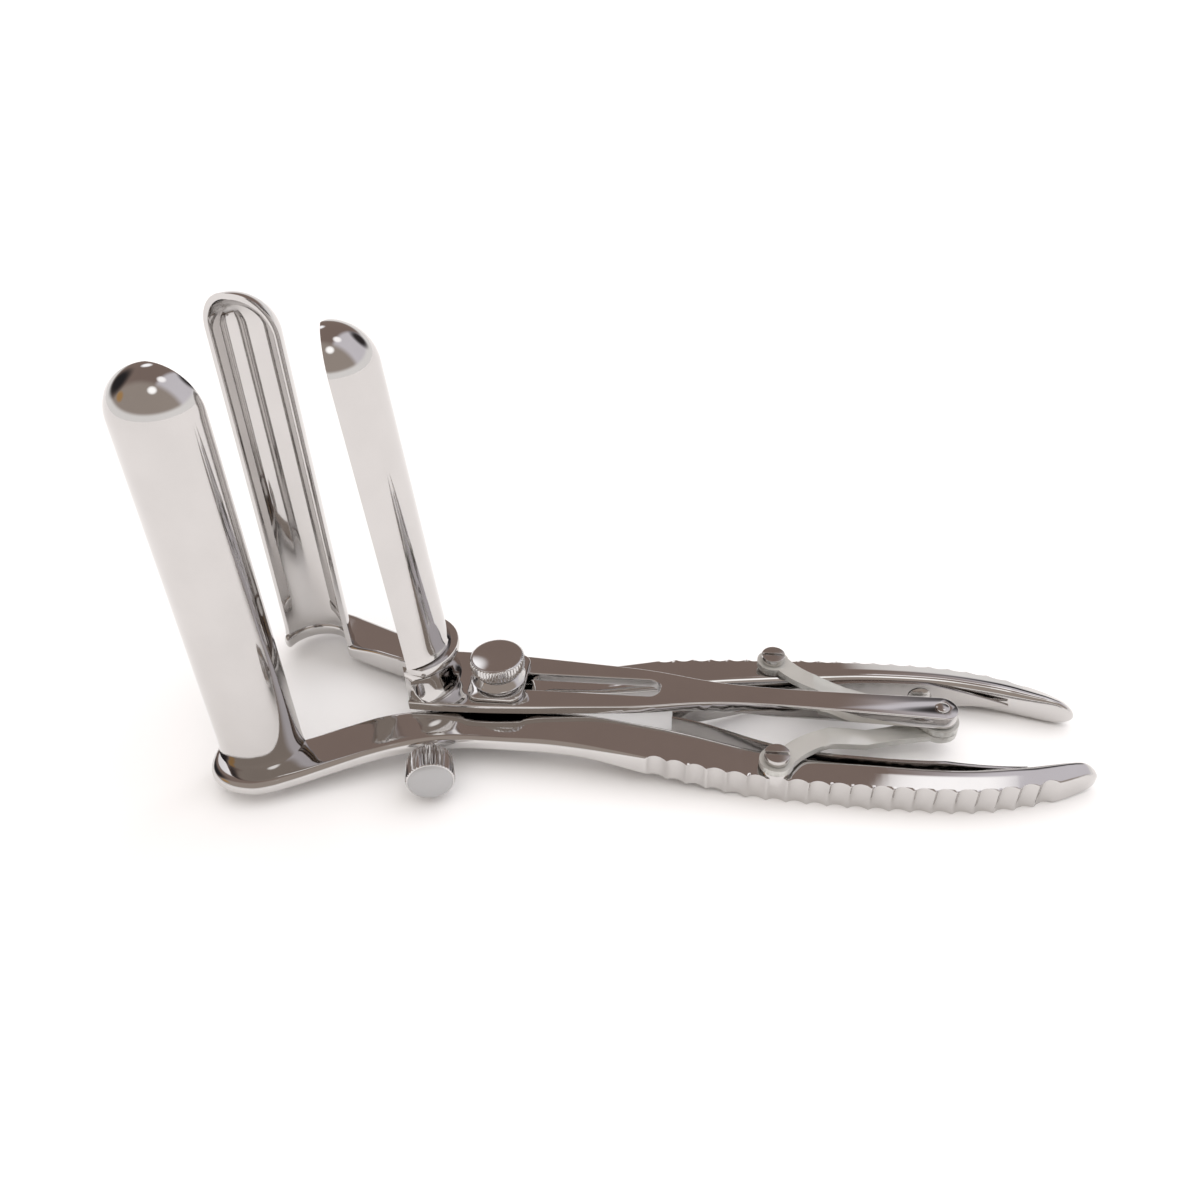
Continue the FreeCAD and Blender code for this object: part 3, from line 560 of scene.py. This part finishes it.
near_rings = ribbon(PAIRS, RING_SPACING, NEAR_LOW, NEAR_HIGH, NEAR_CLIMB, lever_edges,
                    flute_scoop)
far_rings = flip(ribbon(PAIRS, RING_SPACING, FAR_LOW, FAR_HIGH, FAR_CLIMB, lever_edges,
                        flute_scoop))
piece("near_lever", *loft(near_rings), polished, "near_lever", "near_lever", sharp=55)
piece("far_lever", *loft(far_rings), polished, "far_lever", "far_lever", sharp=55)
print("lever rings:", len(near_rings))

# %% [markdown]
# ## Softened copies
# The links, the springs, the slotted arm, the saddle and the link screws are already the
# right shape in the CAD.  A copy of the node is merged into clean flats, and its corners
# get a small bevel, because no real edge is perfectly sharp and the bevel is what catches
# the light.  A spring is fixed to its lever at one end and to nothing at the other; here
# it rides on no body and stays where the CAD puts it.

# %% Soften a CAD node's copy
FLATNESS, BEVEL_STEPS, BEVEL_LIMIT = 0.6, 3, 32


def softened(node, finish, body, edge):
    """A merged copy of a CAD node whose corners are bevelled by edge millimetres."""
    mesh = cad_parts[node].data.copy()
    shape = bmesh.new()
    shape.from_mesh(mesh)
    bmesh.ops.remove_doubles(shape, verts=shape.verts, dist=1.5 * WELD)
    bmesh.ops.dissolve_limit(shape, angle_limit=math.radians(FLATNESS), verts=shape.verts,
                             edges=shape.edges)
    shape.to_mesh(mesh)
    shape.free()
    rough_cut = carrier(node + "_cut", mesh)
    bevel = rough_cut.modifiers.new("edges", "BEVEL")
    bevel.width, bevel.segments, bevel.limit_method = edge * MM, BEVEL_STEPS, "ANGLE"
    bevel.angle_limit = math.radians(BEVEL_LIMIT)
    return dress(node, applied(rough_cut), finish, body, node, sharp=40)


softened("near_link", satin, "near_link", 0.3)
softened("far_link", satin, "far_link", 0.3)
softened("centre_arm", polished, "centre_arm", 0.35)
softened("clamp_saddle", polished, "pivot", 0.25)
for side in ("near", "far"):
    leaf = softened(f"{side}_spring", spring_steel, None, 0.15)
    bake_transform(leaf)
    softened(f"{side}_link_screw", turned_steel, f"{side}_lever", 0.3)

# %% [markdown]
# ## The bracket
# The centre blade stands on a waisted column, hollow on the blade's side.  A boolean could
# cut the hollow, but it would leave long thin faces.  The section is a C instead, lofted
# upward with a flared foot and a rim.

# %% A waisted C-section
COLUMN = [(14.0, 10.9), (14.3, 10.9), (15.2, 10.45), (16.6, 10.15), (19.0, 10.0), (20.6, 10.1),
          (21.5, 10.45), (21.9, 10.95), (22.3, 11.3), (22.8, 11.4), (23.9, 11.4), (24.3, 11.2)]
COLUMN_AXIS, HOLLOW_AXIS, HOLLOW, HALF_WIDTH, LIP, TURNS = -20.7, CENTRE_X, 8.8, 9.9, 1.5, 40
hollow_angle = math.acos(LIP / HOLLOW)
spread = [2 * k / TURNS - 1 for k in range(TURNS + 1)]
c_rings = []
for z, radius in COLUMN:
    side_angle = math.asin(min(1.0, (HALF_WIDTH - 0.02) / radius))
    front = [(COLUMN_AXIS + radius * math.cos(side_angle * t),
              radius * math.sin(side_angle * t), z) for t in spread]
    back = [(HOLLOW_AXIS + HOLLOW * math.cos(hollow_angle * t),
             HOLLOW * math.sin(hollow_angle * t), z) for t in reversed(spread)]
    c_rings.append(front + back)
piece("centre_bracket", *loft(c_rings), polished, "centre_arm", "centre_bracket", sharp=50)

# %% [markdown]
# ## Turned parts
# Nuts, screws and rivets come off a lathe, so each is an outline spun round an axis.  A
# Screw modifier could spin it too, but plain rings put points just where a knurl needs
# them.  The outline holds the small roundings of the corners.

# %% Spin an outline
def spun(outline, around=72):
    """Rings of a turned part: outline is (radius, distance along the axis) pairs."""
    return [[(radius * math.cos(math.tau * k / around), radius * math.sin(math.tau * k / around),
              along) for k in range(around)] for radius, along in outline]


def corner(centre_r, centre_z, radius, start, end, count=5):
    """Outline points on a rounded corner, angles in degrees from outward to up."""
    return [(centre_r + radius * math.cos(math.radians(start + (end - start) * k / count)),
             centre_z + radius * math.sin(math.radians(start + (end - start) * k / count)))
            for k in range(count + 1)]


# %% [markdown]
# ## Straight knurls
# A knurl is a rule: fine ridges at equal angles round a rim.  The tree below moves the
# points of a turned part outward by a triangle wave of their angle, but only between two
# levels and only on the rim itself.

# %% A Geometry Nodes tree for knurls
knurl, rim, finish_knurl = new_tree("straight_knurl", [
    ("Ridges", F), ("Depth", F), ("Low", F), ("High", F), ("Rim radius", F), ("Finish", M)])
knurl_entry = next(n for n in knurl.nodes if n.bl_idname == "NodeGroupInput")
blank_shape = Wire(knurl, knurl_entry.outputs["Geometry"])
knurl_split = knurl.nodes.new("ShaderNodeSeparateXYZ")
join(knurl, knurl_split.inputs[0], add_node(knurl, "GeometryNodeInputPosition"))
px, py, pz = (Wire(knurl, out) for out in knurl_split.outputs)
distance = one(knurl, "SQRT", px * px + py * py)
angle_node = knurl.nodes.new("ShaderNodeMath")
angle_node.operation = "ARCTAN2"
join(knurl, angle_node.inputs[0], py)
join(knurl, angle_node.inputs[1], px)
# Whole turns are added so that the fraction is taken of a positive number.
SPARE_TURNS = 200.0
wave = one(knurl, "FRACT", Wire(knurl, angle_node.outputs[0]) * rim["Ridges"] * (1 / math.tau)
           + SPARE_TURNS)
ridge = one(knurl, "ABSOLUTE", wave - 0.5) * 2


def ramp(value, low, high):
    """Zero at low, one at high, held level beyond."""
    return add_node(knurl, "ShaderNodeMapRange", Value=value, From_Min=low, From_Max=high)


FADE = 0.25 * MM
inside_rim = (ramp(pz, rim["Low"], rim["Low"] + FADE) * ramp(pz, rim["High"], rim["High"] - FADE)
              * ramp(distance, rim["Rim radius"] - 2 * FADE, rim["Rim radius"] - FADE))
push = ridge * inside_rim * rim["Depth"] / distance
moved = knurl.nodes.new("ShaderNodeCombineXYZ")
join(knurl, moved.inputs[0], px * push)
join(knurl, moved.inputs[1], py * push)
finish_knurl(add_node(knurl, "GeometryNodeSetPosition", Geometry=blank_shape,
                      Offset=Wire(knurl, moved.outputs[0])))
print("knurl tree has", len(knurl.nodes), "nodes")


# %% [markdown]
# ## Standing a turned part up
# A real screw or rivet sits on its own axis.  It is easiest to spin and knurl it upright
# at the origin, where the rules are simple, and only then to turn and move its points.

# %% Stand a turned part in its place
def turned(name, outline, finish, body, node=None, at=(0, 0, 0), axis=(0, 0, 1), around=72,
           ridges=0, depth=0.0, band=(0, 0), rim_radius=0.0):
    """Spin an outline, knurl it if ridges are given, and move it to its own axis."""
    verts, faces = loft(spun(outline, around))
    mesh = in_metres(name, verts, faces)
    if ridges:
        mesh = grown(knurl, name, {
            "Ridges": float(ridges), "Depth": depth * MM, "Low": band[0] * MM,
            "High": band[1] * MM, "Rim radius": rim_radius * MM, "Finish": finish}, mesh)
    stand = Vector((0, 0, 1)).rotation_difference(Vector(axis)).to_matrix().to_4x4()
    mesh.transform(Matrix.Translation(Vector(at) * MM) @ stand)
    return dress(name, mesh, finish, body, node, sharp=28)


# %% [markdown]
# ## Bolt and thumb nut
# The bolt is the pivot itself, and the nut on its thread locks the slotted arm.  The nut
# has an undercut neck, a straight-knurled rim and a flat polished top, which is a thin
# plate of its own so that it can take a smoother finish.

# %% Bolt and thumb nut
bolt = [(0.01, 0.0), *corner(5.5, 0.5, 0.5, -90, 0), *corner(5.6, 1.0, 0.4, 0, 90),
        (2.8, 1.4), (2.8, 20.2), (0.01, 20.2)]
turned("pivot_bolt", bolt, turned_steel, "pivot", "pivot_bolt")
NUT_RADIUS, NUT_RIDGES, POINTS_A_RIDGE = 6.22, 50, 8
nut = [(2.9, 17.1), *corner(4.6, 17.4, 0.3, -90, 0), (4.75, 17.9), (4.6, 18.15), (5.7, 18.2),
       *corner(5.95, 18.5, 0.3, -90, 0), (NUT_RADIUS, 18.75), (NUT_RADIUS, 19.8),
       (NUT_RADIUS, 21.15),
       *corner(6.0, 21.35, 0.22, 0, 80), (5.9, 21.64), (3.0, 21.65), (0.01, 21.65)]
turned("thumb_nut", nut, knurled, "thumb_nut", "thumb_nut", around=NUT_RIDGES * POINTS_A_RIDGE,
       ridges=NUT_RIDGES, depth=0.32, band=(18.4, 21.5), rim_radius=NUT_RADIUS)
face_plate = [(0.01, 21.6), (5.8, 21.6), (5.78, 21.66), (5.6, 21.69), (0.01, 21.7)]
turned("thumb_nut_face", face_plate, polished, "thumb_nut", around=96)

# %% [markdown]
# ## Side thumbscrew
# This screw sets how far the side blades can open.  It is skewed by 16 degrees, and has a
# flared neck, a knurled head and a domed, ground end face of its own finish.

# %% Side thumbscrew
SKEW = math.radians(16)
screw_out = Vector((math.sin(SKEW), -math.cos(SKEW), 0))
screw_seat = Vector((-14.0, -17.5, 7.5))
HEAD_RADIUS, HEAD_RIDGES = 5.15, 44
screw = [(0.01, -27.8), (0.7, -27.8), (1.5, -26.4), (1.5, 0.3), (1.9, 1.4), (2.7, 2.6),
         (3.8, 3.6), (4.7, 4.1), *corner(4.75, 4.45, 0.35, -90, 0), (5.15, 4.8), (5.22, 7.5),
         (5.3, 10.7), *corner(5.15, 10.95, 0.2, 0, 80), (5.1, 11.15), (5.05, 11.0), (0.01, 11.0)]
turned("side_screw", screw, knurled, "side_screw", "side_screw", at=screw_seat, axis=screw_out,
       around=HEAD_RIDGES * POINTS_A_RIDGE, ridges=HEAD_RIDGES, depth=0.34,
       band=(4.6, 11.1), rim_radius=HEAD_RADIUS)
end_face = [(0.01, 10.9), (5.08, 10.9), (5.08, 11.15), (4.9, 11.4), (4.2, 11.75), (3.0, 12.1),
            (1.8, 12.32), (0.8, 12.42), (0.01, 12.44)]
turned("side_screw_face", end_face, ground, "side_screw", at=screw_seat, axis=screw_out)

# %% [markdown]
# ## Lug
# A small upright block on the far lever takes the push of the thumbscrew.  A bevelled box
# would do, but lofted rounded rectangles keep its corners even and it square to the screw.

# %% The lug on the far lever that the side thumbscrew bears on
LUG_LENGTH, LUG_WIDTH, LUG_CORNER, SCREW_REACH = 7.0, 4.6, 0.8, 28.4
LUG_LEVELS = [(1.5, 0.3), (1.8, 0.0), (9.0, 0.0), (9.35, 0.12), (9.5, 0.45)]
lug_along = Vector((math.cos(SKEW), math.sin(SKEW), 0))
lug_centre = screw_seat - screw_out * (SCREW_REACH + LUG_WIDTH / 2)
lug_rings = []
for z, inset in LUG_LEVELS:
    half_long = LUG_LENGTH / 2 - LUG_CORNER - inset
    half_wide = LUG_WIDTH / 2 - LUG_CORNER - inset
    ring = []
    for quarter, (sx, sy) in enumerate(((1, 1), (-1, 1), (-1, -1), (1, -1))):
        for k in range(7):
            a = math.radians(90 * quarter + 15 * k)
            p = (lug_centre + lug_along * (sx * half_long + LUG_CORNER * math.cos(a))
                 - screw_out * (sy * half_wide + LUG_CORNER * math.sin(a)))
            ring.append((p.x, p.y, z))
    lug_rings.append(ring)
piece("far_lever_lug", *loft(lug_rings), polished, "far_lever")

# %% [markdown]
# ## Rivets, seats and the tail pin
# Rivets hold the springs, a raised seat lies under each link screw, and a pin joins the
# two links to the arm.  A dome catches a point of light, so its outline is drawn finely.

# %% Rivets, seats and the tail pin
RIVET_X, RIVET_Y, RIVET_Z = 102.6, 12.54, 4.2
LINK_SCREW_X, LINK_SCREW_Y, TAIL_PIN_X = 66.4, 17.0, 104.66
rivet = [(0.01, -1.18), (0.9, -1.12), (1.7, -0.9), (2.4, -0.5), (2.8, 0.0), (2.85, 0.02),
         (1.2, 0.04), (1.2, 7.1), (0.01, 7.15)]
seat = [(1.6, 5.0), (3.5, 5.0), (3.5, 7.9), (3.35, 8.2), (1.6, 8.24)]
for side, sign in (("near", -1), ("far", 1)):
    turned(f"{side}_spring_rivet", rivet, turned_steel, f"{side}_lever", f"{side}_spring_rivet",
           at=(RIVET_X, sign * RIVET_Y, RIVET_Z), axis=(0, sign, 0), around=48)
    turned(f"{side}_link_seat", seat, polished, f"{side}_lever",
           at=(LINK_SCREW_X, sign * LINK_SCREW_Y, 0), around=48)
pin = [(0.01, 4.3), (3.2, 4.3), *corner(3.2, 4.6, 0.3, -90, 0), (3.5, 5.2), (1.3, 5.3),
       (1.3, 12.64), (1.68, 12.66), (1.6, 12.87), (1.25, 13.07), (0.7, 13.18), (0.01, 13.2)]
turned("tail_pin", pin, turned_steel, "centre_arm", "tail_pin",
       at=(TAIL_PIN_X, 0, 0), around=48)

# %% [markdown]
# ## Studio
# Polished steel shows what stands round it, so the room matters as much as the lights.
# The floor is a plain pale sheet that reflects almost nothing itself.

# %% Floor
floor_mesh = bpy.data.meshes.new("floor")
floor_mesh.from_pydata([(-8, -8, 0), (8, -8, 0), (8, 8, 0), (-8, 8, 0)], [], [(0, 1, 2, 3)])
paper = bpy.data.materials.new("pale_paper")
paper.use_nodes = True
surface = paper.node_tree.nodes["Principled BSDF"].inputs
surface["Base Color"].default_value = (0.93, 0.93, 0.93, 1)
surface["Roughness"].default_value = 0.9
surface["Specular IOR Level"].default_value = 0.1
floor_mesh.materials.append(paper)
floor = bpy.data.objects.new("floor", floor_mesh)
bpy.context.collection.objects.link(floor)
print("floor at the level of the origin")

# %% [markdown]
# ## Room
# A picture wrapped round the world could light the steel, but a few blended colours show
# up as the same broad bands in it.  The room is pale at the horizon and a soft brown-grey
# above it, with one bright side.

# %% Room
room = bpy.data.worlds.new("room")
bpy.context.scene.world = room
room.use_nodes = True
room_tree = room.node_tree
way = add_node(room_tree, "ShaderNodeTexCoord", out=0)
parts = room_tree.nodes.new("ShaderNodeSeparateXYZ")
join(room_tree, parts.inputs[0], way)
east, north, up = (Wire(room_tree, out) for out in parts.outputs)


def smooth_step(value, low, high):
    return add_node(room_tree, "ShaderNodeMapRange", {"interpolation_type": "SMOOTHSTEP"},
                    Value=value, From_Min=low, From_Max=high)


def blend_colour(factor, first, second):
    mixed = room_tree.nodes.new("ShaderNodeMix")
    mixed.data_type = "RGBA"
    join(room_tree, mixed.inputs["Factor"], factor)
    join(room_tree, mixed.inputs[6], first)
    join(room_tree, mixed.inputs[7], second)
    return Wire(room_tree, mixed.outputs[2])


bright_side = smooth_step(east, 0.16, 0.32)
above = smooth_step(up, 0.16, 0.32)
behind = smooth_step(north, 0.05, -0.25)
BROWN, BRIGHT = (0.27, 0.205, 0.18, 1), (0.80, 0.77, 0.82, 1)
BROWN_GREY, PALE = (0.42, 0.36, 0.32, 1), (1.0, 0.98, 0.97, 1)
sky = blend_colour(bright_side, BROWN, BRIGHT)
sky = blend_colour(behind, sky, BROWN_GREY)
room_colour = blend_colour(above, PALE, sky)
print("room tree has", len(room_tree.nodes), "nodes")

# %% [markdown]
# ## Windows and sun
# A polished dome shows each window as a point of light and each doorway as a dark patch.
# Lamps would also light the floor, so these are soft round patches of the room itself.  A
# broad sun gives the soft light, and is hidden from reflections.

# %% Windows and sun
def window(under, colour, azimuth, elevation, reach):
    """Lay a soft round patch of colour, reach degrees across its middle, over the room."""
    a, e = math.radians(azimuth), math.radians(elevation)
    facing = (east * (math.cos(a) * math.cos(e)) + north * (math.sin(a) * math.cos(e))
              + up * math.sin(e))
    patch = smooth_step(facing, math.cos(math.radians(reach * 1.6)),
                        math.cos(math.radians(reach * 0.5)))
    return blend_colour(patch, under, colour)


# Bright windows, a dark doorway on either side and a low amber glow: the colour of each,
# then its azimuth, elevation and reach in degrees.
WINDOWS = [((1.5, 1.5, 1.55, 1), 121, 43, 5), ((1.6, 1.6, 1.6, 1), -60, 66, 7),
           ((1.5, 1.48, 1.5, 1), 35, 70, 6), ((0.03, 0.028, 0.03, 1), 165, 30, 16),
           ((0.04, 0.035, 0.035, 1), 60, 24, 12), ((0.50, 0.30, 0.13, 1), 200, 30, 7)]
for colour, azimuth, elevation, reach in WINDOWS:
    room_colour = window(room_colour, colour, azimuth, elevation, reach)
join(room_tree, room_tree.nodes["Background"].inputs["Color"], room_colour)
room_tree.nodes["Background"].inputs["Strength"].default_value = 1.0

sun_data = bpy.data.lights.new("soft_sun", "SUN")
SUN_ENERGY, SUN_SPREAD, SUN_TILT = 2.5, 110, (-8, 6)
sun_data.energy, sun_data.angle = SUN_ENERGY, math.radians(SUN_SPREAD)
sun = bpy.data.objects.new("soft_sun", sun_data)
sun.rotation_euler = (math.radians(SUN_TILT[0]), math.radians(SUN_TILT[1]), 0)
sun.visible_glossy = False
bpy.context.collection.objects.link(sun)
print("windows:", len(WINDOWS), " sun energy:", SUN_ENERGY)

# %% [markdown]
# ## Camera
# The camera looks down at 37 degrees from in front of the near lever.  It could be aimed
# by a constraint, but three angles and a distance say exactly where it stands, and a
# slight roll about its own axis is part of them.

# %% Camera
ELEVATION, AZIMUTH, ROLL = (math.radians(a) for a in (37.2, 8.29, -2.52))
back = Vector((math.sin(AZIMUTH) * math.cos(ELEVATION), -math.cos(AZIMUTH) * math.cos(ELEVATION),
               math.sin(ELEVATION)))
right = (-back).cross(Vector((0, 0, 1))).normalized()
upward = right.cross(-back)
right, upward = (right * math.cos(ROLL) + upward * math.sin(ROLL),
                 upward * math.cos(ROLL) - right * math.sin(ROLL))
camera_data = bpy.data.cameras.new("camera")
camera_data.sensor_width, camera_data.lens = 36.0, 28.67
camera_data.clip_start = 0.01
camera = bpy.data.objects.new("camera", camera_data)
AIM, DISTANCE = Vector((0.01927, 0.04265, 0.007)), 0.26864
eye = AIM + back * DISTANCE
camera.matrix_world = Matrix(((right.x, upward.x, back.x, eye.x),
                              (right.y, upward.y, back.y, eye.y),
                              (right.z, upward.z, back.z, eye.z), (0, 0, 0, 1)))
bpy.context.collection.objects.link(camera)
bpy.context.scene.camera = camera
bpy.context.scene.view_settings.view_transform = "Standard"
print("camera at", [round(c, 4) for c in eye])
